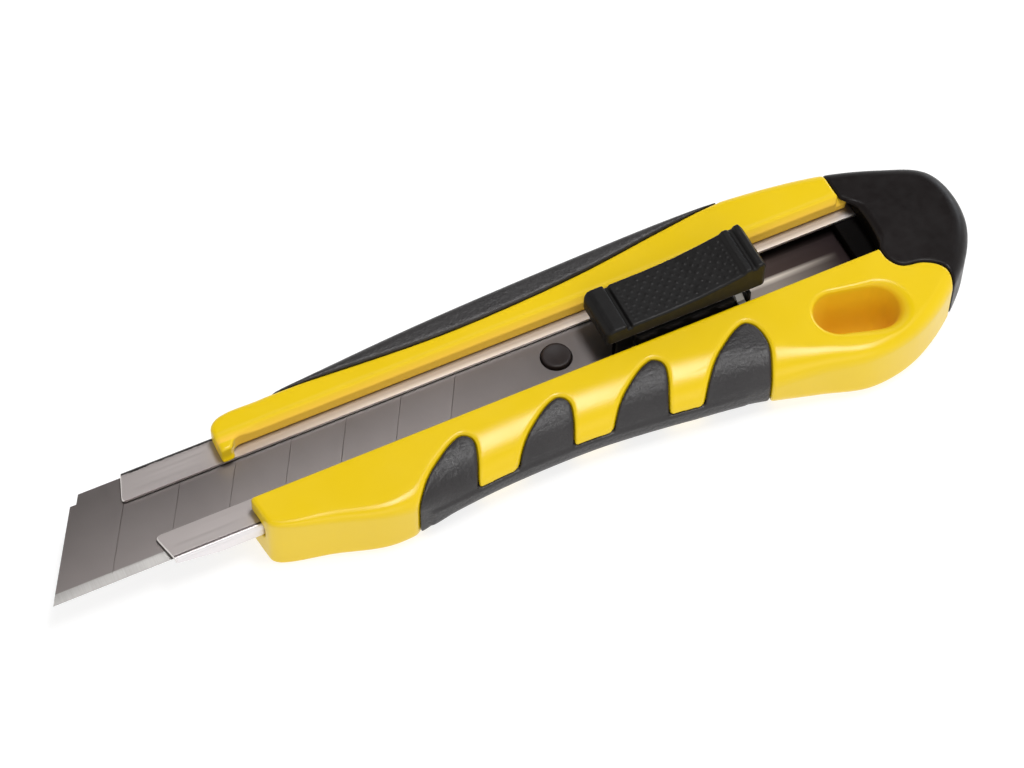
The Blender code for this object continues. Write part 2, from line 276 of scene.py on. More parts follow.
# The slider's lower rail, rear post and upper rail, as x and y.
SLIDER_RAILS = (
    ((22, 40.8), (0.9, 2.1)),
    ((43.1, 43.9), (0.9, 2.1)),
    ((22, 43.6), (7.4, 8.6)),
)

KEY_DIRECTION = (0.22, -0.02, 0.97)
KEY_SIZE = (0.46, 0.20)
KEY_POWER = 4.7
FRONT_DIRECTION = (-0.15, -0.85, 0.5)
FRONT_SIZE = (0.9, 0.45)
FRONT_POWER = 1.45
RIM_DIRECTION = (0.86, 0.45, 0.22)
RIM_SIZE = (0.5, 0.3)
RIM_COLOUR = (0.86, 0.93, 1.0)
RIM_POWER = 1.9
WORLD_STRENGTH = 0.70
WORLD_DARK = (0.15, 0.145, 0.14)
WORLD_DARK_Y = (0.0, 0.55)
WORLD_DARK_Z = (0.35, 0.75)
WORLD_FRONT_DARK = 0.5
FLOOR_GLOW = 0.76


# ---- curves


def smooth_path(points, steps, closed=False):
    """Points along a smooth curve through the given ones, with any number of values in each."""
    count = len(points)
    vectors = [Vector(point) for point in points]
    path = []
    for i in range(count if closed else count - 1):
        near = [i - 1, i, i + 1, i + 2]
        near = [k % count if closed else min(max(k, 0), count - 1) for k in near]
        before, start, end, after = (vectors[k] for k in near)
        reach = (end - start).length / 3
        out = (end - before).normalized() * reach
        back = (after - start).normalized() * reach
        path += interpolate_bezier(start, start + out, end - back, end, steps + 1)[:-1]
    return path if closed else path + [vectors[-1]]


# ---- distance fields


class Grid:
    """A block of sample points between two corners."""

    def __init__(self, low, high, step):
        self.low = np.array(low, float)
        self.step = np.array(step, float)
        axes = [np.arange(a, b + s, s, dtype=np.float32) for a, b, s in zip(low, high, step)]
        self.x = axes[0][:, None, None]
        self.y = axes[1][None, :, None]
        self.z = axes[2][None, None, :]


def outline_field(px, py, path):
    """The distance to a closed path, negative inside, and the path's third value beside it."""
    nearest = np.full(np.broadcast_shapes(px.shape, py.shape), 1e9, np.float32)
    value = np.zeros_like(nearest)
    inside = np.zeros(nearest.shape, bool)
    for start, end in zip(path, list(path[1:]) + [path[0]]):
        ex, ey = end[0] - start[0], end[1] - start[1]
        wx, wy = px - start[0], py - start[1]
        share = np.clip((wx * ex + wy * ey) / (ex * ex + ey * ey), 0, 1)
        squared = (wx - ex * share) ** 2 + (wy - ey * share) ** 2
        closer = squared < nearest
        nearest = np.where(closer, squared, nearest)
        if len(start) > 2:
            value = np.where(closer, start[2] + (end[2] - start[2]) * share, value)
        if ey:
            crosses = (start[1] > py) != (end[1] > py)
            inside ^= crosses & (px < start[0] + ex * (py - start[1]) / ey)
    distance = np.sqrt(nearest)
    return np.where(inside, -distance, distance), value


def box_field(grid, x, y, z, radius=0.0):
    """A block with rounded edges."""
    reach = []
    for axis, (low, high) in zip((grid.x, grid.y, grid.z), (x, y, z)):
        reach.append(np.abs(axis - (low + high) / 2) - ((high - low) / 2 - radius))
    outside = np.sqrt(sum(np.maximum(part, 0) ** 2 for part in reach))
    inside = np.minimum(np.maximum(np.maximum(reach[0], reach[1]), reach[2]), 0)
    return outside + inside - radius


def common(a, b, radius=0.0):
    """What lies in both fields; the edge between them is rounded."""
    sharp = np.maximum(a, b)
    if np.ndim(radius) == 0 and radius == 0:
        return sharp
    corner = np.hypot(np.maximum(a + radius, 0), np.maximum(b + radius, 0))
    return np.minimum(-radius, sharp) + corner


def carved(a, b, radius=0.0):
    return common(a, -b, radius)


def chamfered(a, b, leg):
    """What lies in both fields, with the edge between them cut off at 45 degrees."""
    return np.maximum(np.maximum(a, b), (a + b + leg) * math.sqrt(0.5))


def merged(a, b, radius=0.0):
    """What lies in either field; the inner corner between them is filled with a fillet."""
    return -common(-a, -b, radius)


def pillow_field(grid, proud=0.0):
    """The handle's outer form: an outline whose edge radius changes along the way.

    Where the radius is large, the edge flattens out towards the front and rear faces.
    """
    path = smooth_path(HANDLE_OUTLINE, 8, closed=True)
    distance, radius = outline_field(grid.x, grid.y, path)
    height = grid.z - MIDDLE_Z
    stretch = np.where(height > 0, MIDDLE_Z / (MIDDLE_Z + proud), 1)
    wide = radius * (1 + BELLY_STRETCH * np.clip((radius - 3) / 2.4, 0, 1))
    across = (distance + wide) * radius / wide
    up = np.abs(height * stretch) - (MIDDLE_Z - radius)
    corner = np.hypot(np.maximum(across, 0), np.maximum(up, 0))
    return (np.minimum(np.maximum(across, up), 0) + corner - radius).astype(np.float32)


def finger_field(grid):
    """The four leaning fingers of the soft grip, seen from the front."""
    fingers = None
    for number in range(GRIP_COUNT):
        sides = LAST_GRIP_SIDES if number == GRIP_COUNT - 1 else FINGER_GRIP_SIDES
        top_x = FIRST_GRIP_X + number * GRIP_PITCH
        path = [(top_x + x, GRIP_TOP_Y + y) for x, y in smooth_path(sides, 6)]
        finger = outline_field(grid.x, grid.y, path)[0]
        fingers = finger if fingers is None else np.minimum(fingers, finger)
    return fingers


def rib_field(grid, margin=0.0):
    """The rib along the belly that joins the fingers."""
    x = (FIRST_GRIP_X - 9, LAST_GRIP_X)
    z = (BELLY_RIB_Z[0] - margin, BELLY_RIB_Z[1] + margin)
    return box_field(grid, (x[0] - margin, x[1] + margin), (-30, -9.5 + margin), z)


def spine_field(grid):
    edge = smooth_path(SPINE_GRIP_EDGE, 6)
    path = [tuple(point) for point in edge] + [(edge[-1][0], 30), (edge[0][0], 30)]
    return outline_field(grid.x, grid.y, path)[0]


def cap_field(grid):
    path = [tuple(point) for point in smooth_path(CAP_EDGE, 6)] + [(110, -24), (110, 22)]
    return outline_field(grid.x, grid.y, path)[0]


def slot_field(grid):
    return np.abs(grid.y - SLOT_Y) - SLOT_HALF


def hole_field(grid):
    """The hanging hole's distance in plan, and the unit vector to a point from its middle."""
    cosine, sine = math.cos(HOLE_TILT), math.sin(HOLE_TILT)
    dx, dy = grid.x - HOLE_CENTRE[0], grid.y - HOLE_CENTRE[1]
    reach = np.hypot(dx, dy).clip(0.1)
    along = dx * cosine + dy * sine
    across = dy * cosine - dx * sine
    radius = HOLE_SIZE[1] / 2
    beyond = along - np.clip(along, radius - HOLE_SIZE[0] / 2, HOLE_SIZE[0] / 2 - radius)
    distance = np.hypot(beyond, across)
    return distance - radius, dx / reach, dy / reach


# ---- skins


CUBE_EDGES = [
    (start, axis)
    for axis in range(3)
    for start in np.ndindex(2, 2, 2)
    if start[axis] == 0
]


def sampled(field, places):
    """The field between its sample points, by straight-line mixing."""
    limit = np.array(field.shape) - 1.001
    places = np.clip(places, 0, limit)
    base = places.astype(np.int64)
    share = places - base
    total = 0
    for corner in np.ndindex(2, 2, 2):
        weight = np.prod(np.where(corner, share, 1 - share), axis=1)
        total = total + weight * field[tuple((base + corner).T)]
    return total


def net(field):
    """Quads round the zero level: a point in every cell it crosses, joined across cell edges."""
    inside = field < 0
    size = [n - 1 for n in field.shape]
    filled = np.zeros(size, np.int8)
    for corner in np.ndindex(2, 2, 2):
        filled += inside[tuple(slice(c, c + n) for c, n in zip(corner, size))]
    crossed = (filled > 0) & (filled < 8)
    cells = np.argwhere(crossed)
    number = np.full(size, -1, np.int64)
    number[crossed] = np.arange(len(cells))
    total = np.zeros((len(cells), 3))
    hits = np.zeros(len(cells))
    for start, axis in CUBE_EDGES:
        first = cells + start
        second = first.copy()
        second[:, axis] += 1
        a, b = field[tuple(first.T)], field[tuple(second.T)]
        changes = (a < 0) != (b < 0)
        place = first[changes].astype(float)
        place[:, axis] += a[changes] / (a[changes] - b[changes])
        total[changes] += place
        hits[changes] += 1
    points = total / hits[:, None]
    quads = []
    for axis in range(3):
        u, v = (axis + 1) % 3, (axis + 2) % 3
        low = np.moveaxis(inside, axis, 0)[:-1]
        high = np.moveaxis(inside, axis, 0)[1:]
        edges = np.argwhere(np.moveaxis(low != high, 0, axis))
        edges = edges[(edges[:, u] > 0) & (edges[:, v] > 0)]
        edges = edges[(edges[:, u] < size[u]) & (edges[:, v] < size[v])]
        around = []
        for du, dv in ((0, 0), (-1, 0), (-1, -1), (0, -1)):
            cell = edges.copy()
            cell[:, u] += du
            cell[:, v] += dv
            around.append(number[tuple(cell.T)])
        quad = np.stack(around, 1)
        outward = inside[tuple(edges.T)]
        quads.append(np.where(outward[:, None], quad, quad[:, ::-1]))
    return points, np.concatenate(quads)


def settled(field, points, rounds=3):
    """Moves each point along the slope onto the zero level."""
    for _ in range(rounds):
        slope = np.empty_like(points)
        for axis in range(3):
            offset = np.zeros(3)
            offset[axis] = 0.5
            slope[:, axis] = sampled(field, points + offset) - sampled(field, points - offset)
        length = np.maximum((slope**2).sum(1), 1e-9)
        move = -sampled(field, points)[:, None] * slope / length[:, None]
        points = points + np.clip(move, -0.5, 0.5)
    return points


def mesh_object(name, points, faces):
    mesh = bpy.data.meshes.new(name)
    mesh.vertices.add(len(points))
    mesh.vertices.foreach_set("co", (np.asarray(points, np.float32) * MM).ravel())
    mesh.loops.add(faces.size)
    mesh.loops.foreach_set("vertex_index", faces.astype(np.int32).ravel())
    mesh.polygons.add(len(faces))
    starts = np.arange(0, faces.size, faces.shape[1], dtype=np.int32)
    mesh.polygons.foreach_set("loop_start", starts)
    mesh.update(calc_edges=True)
    mesh.validate()
    mesh.shade_smooth()
    made = bpy.data.objects.new(name, mesh)
    bpy.context.scene.collection.objects.link(made)
    return made


def skin(name, grid, field, most_faces):
    """A mesh over the field's zero level, thinned where it is flat."""
    shape = (grid.x.shape[0], grid.y.shape[1], grid.z.shape[2])
    field = np.ascontiguousarray(np.broadcast_to(field, shape), dtype=np.float32)
    points, quads = net(field)
    points = settled(field, points)
    made = mesh_object(name, grid.low + points * grid.step, quads)
    share = most_faces / (2 * len(quads))
    if share < 1:
        thin = made.modifiers.new("thin", "DECIMATE")
        thin.ratio = share
        bake_modifiers(made)
    return made


def bake_modifiers(made):
    """Replaces the mesh by what its modifiers make of it."""
    graph = bpy.context.evaluated_depsgraph_get()
    graph.update()
    old = made.data
    made.data = bpy.data.meshes.new_from_object(made.evaluated_get(graph))
    made.modifiers.clear()
    bpy.data.meshes.remove(old)
    made.data.name = made.name
    made.data.shade_smooth()


# ---- moulded pieces


def moulded_handle():
    """The yellow body, both soft grips and the tail cap, which share one outer form."""
    low = (body_low[0] - 1, body_low[1] - 1, -1)
    high = (TAIL_X + 1, body_high[1] + 1, THICKNESS + 1.4)
    grid = Grid(low, high, HANDLE_GRID)
    outer = pillow_field(grid)
    fingers = finger_field(grid)
    spine = spine_field(grid)
    cap = cap_field(grid)
    yellow = skin("yellow_body", grid, body_field(grid, outer, fingers, spine, cap), 190_000)
    finger_grip = skin("soft_finger_grip", grid, finger_grip_field(grid, outer, fingers), 60_000)
    spine_grip = skin("soft_spine_strip", grid, spine_grip_field(grid, outer, spine), 40_000)
    tail = skin("tail_cap_shell", grid, tail_field(grid, outer, cap), 70_000)
    return yellow, finger_grip, spine_grip, tail


def pocket_field(grid, end_x):
    """The tunnel that holds the blade channel, just wider than it."""
    half = (channel_high[1] - channel_low[1]) / 2 + POCKET_GAP
    z = (channel_low[2] - POCKET_GAP, channel_high[2] + POCKET_GAP)
    y = (SLOT_Y - half, SLOT_Y + half)
    return box_field(grid, (BEYOND_TIP, end_x), y, z, POCKET_CORNER)


def under_cap_field(grid, outer):
    """The end of the yellow body, which reaches in under the tail cap's skin."""
    end_x = np.where(grid.y > SLOT_Y, BODY_END_X[1], BODY_END_X[0])
    return common(outer + CAP_SKIN, grid.x - end_x)


def body_field(grid, outer, fingers, spine, cap):
    """The yellow body: the outer form less the recesses, the slot, the pocket and the hole."""
    deep = -(outer + GRIP_DEPTH + SEAM)
    body = carved(outer, common(fingers - SEAM, deep), FINGER_RECESS_EDGE)
    body = carved(body, common(rib_field(grid, SEAM), deep), RIB_RECESS_EDGE)
    body = carved(body, common(spine - SEAM, deep), SPINE_RECESS_EDGE)
    body = np.minimum(carved(body, cap - SEAM, CAP_SEAM_EDGE), under_cap_field(grid, outer))
    body = chamfered(body, -front_slot_field(grid), slot_chamfer(grid))
    body = carved(body, pocket_field(grid, BEYOND_TAIL), 0.15)
    hole, hole_x, hole_y = hole_field(grid)
    towards = HOLE_RIM_TOWARDS[0] * hole_x + HOLE_RIM_TOWARDS[1] * hole_y
    away = np.clip(0.5 + 0.5 * towards, 0, 1)
    front_rim = HOLE_RIM[0] + (HOLE_RIM[1] - HOLE_RIM[0]) * away**2
    rim = np.where(grid.z > MIDDLE_Z, front_rim, HOLE_RIM[0])
    return carved(body, hole + HOLE_DRAFT * (THICKNESS - grid.z), rim)


def front_slot_field(grid):
    """The slot in the front face, which a foot at the upper nose narrows."""
    slot = common(slot_field(grid), channel_high[2] - 0.3 - grid.z)
    y = (SLOT_Y + LIP_OPENING / 2, BEYOND_SIDE)
    foot = box_field(grid, (BEYOND_TIP, NOSE_FOOT_X), y, (0, BEYOND_SIDE), 0.6)
    return carved(slot, foot, 2.0)


def slot_chamfer(grid):
    """The chamfer's leg: large along the slot's upper edge behind the foot, small elsewhere."""
    full = np.clip((grid.x - NOSE_FOOT_X - 1) / 4, 0, 1) * (grid.y > SLOT_Y)
    return SLOT_CHAMFER[1] + (SLOT_CHAMFER[0] - SLOT_CHAMFER[1]) * full


def finger_grip_field(grid, outer, fingers):
    """The soft fingers, a little below the handle's face, and the rib, which stands proud of it."""
    finger = common(outer + 0.12, fingers, 0.4)
    proud = 0.28 * np.clip((LAST_GRIP_X - grid.x) / 9, 0, 1) - 0.12
    rib = common(outer - proud, rib_field(grid), 0.4)
    return carved(merged(finger, rib, 0.3), outer + GRIP_DEPTH)


def spine_grip_field(grid, outer, spine):
    """The soft strip along the spine, with a rounded edge that thins out at both ends."""
    proud = pillow_field(grid, proud=0.3)
    start, end = SPINE_GRIP_EDGE[0][0], SPINE_GRIP_EDGE[-1][0]
    edge = np.clip(0.06 * np.minimum(grid.x - start, end - grid.x), 0.05, 0.55)
    return carved(common(proud, spine, edge), outer + GRIP_DEPTH)


def tail_field(grid, outer, cap):
    """The cap's shell with room for the channel's end, and the tongue that closes the channel."""
    off_slot = np.clip((np.abs(grid.y - SLOT_Y) - SLOPE_Y[0]) / (SLOPE_Y[1] - SLOPE_Y[0]), 0, 1)
    shell = common(outer, cap, CAP_EDGE_RADIUS - CAP_EDGE_THINNING * off_slot)
    shell = carved(shell, under_cap_field(grid, outer) - SEAM)
    shell = carved(shell, pocket_field(grid, channel_high[0] + 0.3))
    half = (channel_high[1] - channel_low[1]) / 2 - 0.8
    z = (channel_low[2] + SLIDE_INSET, channel_high[2] - SLIDE_INSET)
    x = (cap_low[0], channel_high[0] + 3)
    tongue = box_field(grid, x, (SLOT_Y - half, SLOT_Y + half), z, 0.3)
    return np.minimum(shell, tongue)


def pad_top(x):
    """The height of the thumb pad's top along its length: front block, groove, saddle, ridges."""
    return np.interp(x, [point[0] for point in PAD_TOP], [point[1] for point in PAD_TOP])


def thumb_pad():
    """The button's rounded block, its stem, and rows of small raised dots on the saddle."""
    grid = Grid(pad_low - GRID_MARGIN, pad_high + GRID_MARGIN, PAD_GRID)
    outline = rounded_box_plan(grid, (pad_low[0], pad_high[0]), (pad_low[1], pad_high[1]), 1.1)
    front, back = pad_low[0] - 5, pad_high[0] + 5
    side = [(front, PAD_BASE_Z), (back, PAD_BASE_Z), (back, PAD_TOP[-1][1])]
    side += [*reversed(PAD_TOP), (front, PAD_TOP[0][1])]
    profile, _ = outline_field(grid.x, grid.z, side)
    pad = common(outline, profile, 0.42)
    first_x = SADDLE_X[0] + 0.8
    row_x = grid.x - first_x
    dots = None
    for shift in (0, 0.5):
        cell_x = DOT_PITCH_X * (np.round(row_x / DOT_PITCH_X - shift) + shift)
        cell_x = np.clip(cell_x, 0, SADDLE_X[1] - SADDLE_X[0] - 1.2)
        cell_y = DOT_PITCH_Y * (np.round((grid.y - SLOT_Y) / DOT_PITCH_Y - shift) + shift)
        cell_y = np.clip(cell_y, -DOT_PITCH_Y * (2 - shift), DOT_PITCH_Y * (2 - shift))
        centre_z = pad_top(cell_x + first_x) - DOT_SINK
        away = (row_x - cell_x) ** 2 + (grid.y - SLOT_Y - cell_y) ** 2 + (grid.z - centre_z) ** 2
        dot = np.sqrt(away) - DOT_RADIUS
        dots = dot if dots is None else np.minimum(dots, dot)
    pad = merged(pad, dots, 0.08)
    stem = box_field(grid, STEM_X, STEM_Y, (pad_low[2] + STEM_LIFT, PAD_BASE_Z + 1), 0.25)
    return skin("ridged_thumb_pad", grid, np.minimum(pad, stem), 120_000)


def rounded_box_plan(grid, x, y, radius):
    """A rectangle in plan with rounded corners, of any height."""
    across = np.abs(grid.x - sum(x) / 2) - ((x[1] - x[0]) / 2 - radius)
    along = np.abs(grid.y - sum(y) / 2) - ((y[1] - y[0]) / 2 - radius)
    corner = np.hypot(np.maximum(across, 0), np.maximum(along, 0))
    return np.minimum(np.maximum(across, along), 0) + corner - radius


def slider_base():
    """The moulded base under the pad: a tongue with the dished pin, a block, rails and a post."""
    grid = Grid(carrier_low - GRID_MARGIN, carrier_high + GRID_MARGIN, SLIDER_GRID)
    floor_z = carrier_low[2]
    block_z = channel_high[2] - SLIDE_INSET
    low_y, high_y = carrier_low[1], carrier_high[1]
    tail_x = blade_low[0] + BLADE_EDGE_LENGTH + 0.6
    block = [
        (tail_x + (low_y - blade_low[1]) * SCORE_LEAN, low_y),
        (carrier_high[0], low_y),
        (carrier_high[0], high_y),
        (tail_x + (high_y - blade_low[1]) * SCORE_LEAN, high_y),
    ]
    plan, _ = outline_field(grid.x, grid.y, block)
    height = np.abs(grid.z - (floor_z + block_z) / 2) - (block_z - floor_z) / 2
    base = common(plan, height, 0.25)
    tongue_z = (floor_z, blade_low[2] - SLIDE_GAP)
    tongue = box_field(grid, (carrier_low[0], TONGUE_END_X), TONGUE_Y, tongue_z, 0.25)
    base = np.minimum(base, tongue)
    reach = np.hypot(grid.x - PIN_X, grid.y - SLOT_Y)
    pin_top = blade_high[2] + PIN_PROUD
    pin = common(reach - PIN_RADIUS, np.abs(grid.z - 7) - (pin_top - 7), 0.3)
    dish_z = grid.z - pin_top - DISH_RADIUS + DISH_DEPTH
    dish = np.sqrt(reach**2 + dish_z**2) - DISH_RADIUS
    base = np.minimum(base, carved(pin, dish, 0.15))
    for rail_x, rail_y in SLIDER_RAILS:
        rail = box_field(grid, rail_x, rail_y, (block_z - 0.5, carrier_high[2]), 0.25)
        base = merged(base, rail, 0.2)
    return skin("slider_base", grid, base, 60_000)


# ---- steel pieces


def channel_section():
    """The strip's middle line from one lip's edge round to the other, as y, z and the way out."""
    radius = CHANNEL_CORNER - SHEET / 2
    low_y, high_y = channel_low[1] + SHEET / 2, channel_high[1] - SHEET / 2
    low_z, high_z = channel_low[2] + SHEET / 2, channel_high[2] - SHEET / 2
    half = LIP_OPENING / 2
    lip = [SLOT_Y + half + step for step in LIP_STEPS]
    section = [(y, high_z, 0.0, 1.0) for y in lip]
    corners = (
        (high_y - radius, high_z - radius, 90),
        (high_y - radius, low_z + radius, 0),
        (low_y + radius, low_z + radius, -90),
        (low_y + radius, high_z - radius, -180),
    )
    for centre_y, centre_z, start in corners:
        for step in range(FOLD_STEPS + 1):
            turn = math.radians(start - 90 * step / FOLD_STEPS)
            out = (math.cos(turn), math.sin(turn))
            section.append((centre_y + radius * out[0], centre_z + radius * out[1], *out))
    section += [(2 * SLOT_Y - y, high_z, 0.0, 1.0) for y in reversed(lip)]
    return section


def channel_front(y, z):
    """Where the channel begins: the lips end in slanted noses, and the floor is cut back."""
    front = channel_low[0]
    if y > SLOT_Y:
        nose = front - 0.2 + (y - SLOT_Y - 3.25) * UPPER_NOSE_LEAN
        edge = y - SLOT_Y - LIP_OPENING / 2
    else:
        nose = front + 2.2 + (1.5 - y) * LOWER_NOSE_LEAN
        edge = SLOT_Y - LIP_OPENING / 2 - y
    if edge < NOSE_RADIUS:
        nose += NOSE_RADIUS - math.sqrt(NOSE_RADIUS**2 - (NOSE_RADIUS - edge) ** 2)
    slope = front + float(np.interp(z, CUT_BACK_Z, CUT_BACK_X))
    return max(nose, slope, front)


def notch_depth(x):
    """How far the lower lip's edge steps back at x, in a notch for the lock spring's tooth."""
    for step in DETENT_STEPS:
        if abs(x - LOCK_X - step * DETENT_PITCH) < DETENT_WIDTH / 2:
            return DETENT_DEPTH
    return 0.0


def folded_channel():
    """The steel strip, from rings: its section at one place after another along the knife.

    A ring says its x, or None at the slanted front, how far behind that it lies, and the share of
    the sheet's thickness that it has.
    """
    section = channel_section()
    rings = [(None, 0.0, 0.35), (None, 0.16, 1.0)]
    for step in DETENT_STEPS:
        middle = LOCK_X + step * DETENT_PITCH
        for side in (-1, 1):
            edge = middle + side * DETENT_WIDTH / 2
            rings += [(edge - 0.06, 0.0, 1.0), (edge + 0.06, 0.0, 1.0)]
    rings.append((channel_high[0], 0.0, 1.0))
    count = len(section)
    lip_count = len(LIP_STEPS)
    points = []
    for x, behind, fullness in rings:
        reach = SHEET / 2 * fullness
        for face in (reach, -reach):
            for i, (y, z, out_y, out_z) in enumerate(section):
                place = channel_front(y, z) + behind if x is None else x
                if x is not None and i >= count - lip_count:
                    share = 1 - LIP_STEPS[count - 1 - i] / LIP_STEPS[-1]
                    y -= notch_depth(x) * share
                points.append((place, y + face * out_y, z + face * out_z))
    loop = list(range(count)) + [count + i for i in reversed(range(count))]
    faces = []
    for ring in range(len(rings) - 1):
        base = ring * 2 * count
        for a, b in zip(loop, loop[1:] + loop[:1]):
            faces.append([base + a, base + b, base + 2 * count + b, base + 2 * count + a])
    for base in (0, (len(rings) - 1) * 2 * count):
        for i in range(count - 1):
            faces.append([base + i, base + i + 1, base + count + i + 1, base + count + i])
    made = mesh_object("folded_channel", np.array(points), np.array(faces))
    return crisp(made, 30)


def crisp(made, smooth_below):
    """Turns the faces outward, and keeps flat faces flat beside their rounded edges."""
    work = bmesh.new()
    work.from_mesh(made.data)
    bmesh.ops.recalc_face_normals(work, faces=work.faces)
    work.to_mesh(made.data)
    work.free()
    made.data.shade_smooth()
    made.data.set_sharp_from_angle(angle=math.radians(smooth_below))
    weighted = made.modifiers.new("flat faces", "WEIGHTED_NORMAL")
    weighted.keep_sharp = True
    return made


def ring_stack(name, rings):
    """Skins rings of equally many points, one after another, and closes both ends."""
    count = len(rings[0])
    work = bmesh.new()
    placed = [[work.verts.new(Vector(point) * MM) for point in ring] for ring in rings]
    work.faces.new(placed[0][::-1])
    work.faces.new(placed[-1])
    for here, after in zip(placed, placed[1:]):
        for i in range(count):
            k = (i + 1) % count
            work.faces.new((here[i], here[k], after[k], after[i]))
    bmesh.ops.recalc_face_normals(work, faces=work.faces)
    mesh = bpy.data.meshes.new(name)
    work.to_mesh(mesh)
    work.free()
    made = bpy.data.objects.new(name, mesh)
    bpy.context.scene.collection.objects.link(made)
    return made


def upright(name, plan):
    """A prism that reaches from below the blade to above it."""
    return ring_stack(name, [[(x, y, z) for x, y in plan] for z in (6, 8)])


def cut_away(made, cutters):
    for cutter in cutters:
        modifier = made.modifiers.new(cutter.name, "BOOLEAN")
        modifier.operation = "DIFFERENCE"
        modifier.solver = "EXACT"
        modifier.object = cutter
    bake_modifiers(made)
    for cutter in cutters:
        bpy.data.objects.remove(cutter)
    return made


def snap_blade():
    """The blade: a slanted strip with a ground edge, scores, a clipped corner and a round hole."""
    tip_x, edge_y, top_z = blade_low[0], blade_low[1], blade_high[2]
    width, thickness = blade_high[1] - blade_low[1], blade_high[2] - blade_low[2]
    middle_z, half = top_z - thickness / 2, thickness / 2
    section = ((0, 0), (BLADE_BEVEL, -half), (width, -half), (width, half), (BLADE_BEVEL, half))
    rings = []
    for start in (tip_x, tip_x + BLADE_EDGE_LENGTH):
        rings.append([(start + y * SCORE_LEAN, edge_y + y, middle_z + z) for y, z in section])
    made = ring_stack("snap_off_blade", rings)
    cutters = []
    for number in range(1, SCORE_COUNT + 1):
        ends = []
        for y in (-1, width + 1):
            x = tip_x + number * SCORE_PITCH + y * SCORE_LEAN
            top = top_z + 0.05
            ends.append([
                (x - SCORE_WIDTH, edge_y + y, top),
                (x, edge_y + y, top_z - SCORE_DEPTH),
                (x + SCORE_WIDTH, edge_y + y, top),
            ])
        cutters.append(ring_stack(f"score_{number}", ends))
    notch_x = tip_x + (width - CLIP_WIDTH) * SCORE_LEAN
    notch_y = edge_y + width - CLIP_WIDTH
    corner = [(notch_x + x, notch_y + y) for x, y in CLIP_CUTTER]
    cutters.append(upright("clipped_corner", corner))
    hole = []
    for i in range(HOLE_POINTS):
        turn = 2 * math.pi * i / HOLE_POINTS
        hole.append((
            PIN_X + BLADE_HOLE_RADIUS * math.cos(turn),
            SLOT_Y + BLADE_HOLE_RADIUS * math.sin(turn),
        ))
    cutters.append(upright("pin_hole", hole))
    cut_away(made, cutters)
    return crisp(made, 8)


# ---- stage


def set_camera():
    data = bpy.data.cameras.new("camera")
    data.lens = CAMERA_LENS
    camera = bpy.data.objects.new("camera", data)
    bpy.context.scene.collection.objects.link(camera)
    flat = Vector((math.sin(CAMERA_AZIMUTH), math.cos(CAMERA_AZIMUTH), 0))
    ahead = flat * math.cos(CAMERA_ELEVATION) - Vector((0, 0, math.sin(CAMERA_ELEVATION)))
    right = ahead.cross(Vector((0, 0, 1))).normalized()
    up = right.cross(ahead)
    turned_right = right * math.cos(CAMERA_ROLL) + up * math.sin(CAMERA_ROLL)
    turned_up = up * math.cos(CAMERA_ROLL) - right * math.sin(CAMERA_ROLL)
    facing = Matrix((turned_right, turned_up, -ahead)).transposed()
    place = (Vector(CAMERA_AIM) - ahead * CAMERA_DISTANCE) * MM
    camera.matrix_world = Matrix.Translation(place) @ facing.to_4x4()
    bpy.context.scene.camera = camera


def soft_box(name, towards, distance, size, power):
    """A rectangular lamp that faces the knife from the given direction."""
    data = bpy.data.lights.new(name, "AREA")
    data.shape = "RECTANGLE"
    data.size, data.size_y = size
    data.energy = power
    lamp = bpy.data.objects.new(name, data)
    bpy.context.scene.collection.objects.link(lamp)
    direction = Vector(towards).normalized()
    lamp.location = direction * distance
    lamp.rotation_euler = direction.to_track_quat("Z", "Y").to_euler()
    return lamp


def set_world():
    """A white studio with a dim ceiling, darkest behind the knife."""
    world = bpy.data.worlds.new("studio")
    world.use_nodes = True
    nodes, links = world.node_tree.nodes, world.node_tree.links
    coordinates = nodes.new("ShaderNodeTexCoord")
    split = nodes.new("ShaderNodeSeparateXYZ")
    links.new(coordinates.outputs["Generated"], split.inputs[0])
    shares = []
    for axis, (low, high), least in (("Y", WORLD_DARK_Y, WORLD_FRONT_DARK), ("Z", WORLD_DARK_Z, 0)):
        share = nodes.new("ShaderNodeMapRange")
        share.interpolation_type = "SMOOTHSTEP"
        share.inputs["From Min"].default_value = low
        share.inputs["From Max"].default_value = high
        share.inputs["To Min"].default_value = least
        links.new(split.outputs[axis], share.inputs["Value"])
        shares.append(share.outputs["Result"])
    both = nodes.new("ShaderNodeMath")
    both.operation = "MULTIPLY"
    links.new(shares[0], both.inputs[0])
    links.new(shares[1], both.inputs[1])
    blend = nodes.new("ShaderNodeMix")
    blend.data_type = "RGBA"
    blend.inputs[6].default_value = (1.0, 0.99, 0.975, 1)
    blend.inputs[7].default_value = (*WORLD_DARK, 1)
    links.new(both.outputs[0], blend.inputs["Factor"])
    links.new(blend.outputs[2], nodes["Background"].inputs["Color"])
    nodes["Background"].inputs["Strength"].default_value = WORLD_STRENGTH
    bpy.context.scene.world = world


def set_floor():
    reach = 3.0
    mesh = bpy.data.meshes.new("floor")
    corners = [(-reach, -reach, 0), (reach, -reach, 0), (reach, reach, 0), (-reach, reach, 0)]
    mesh.from_pydata(corners, [], [(0, 1, 2, 3)])
    floor = bpy.data.objects.new("floor", mesh)
    bpy.context.scene.collection.objects.link(floor)
    floor.location.z = -0.1 * MM
    floor.data.materials.append(floor_paper())


# ---- materials


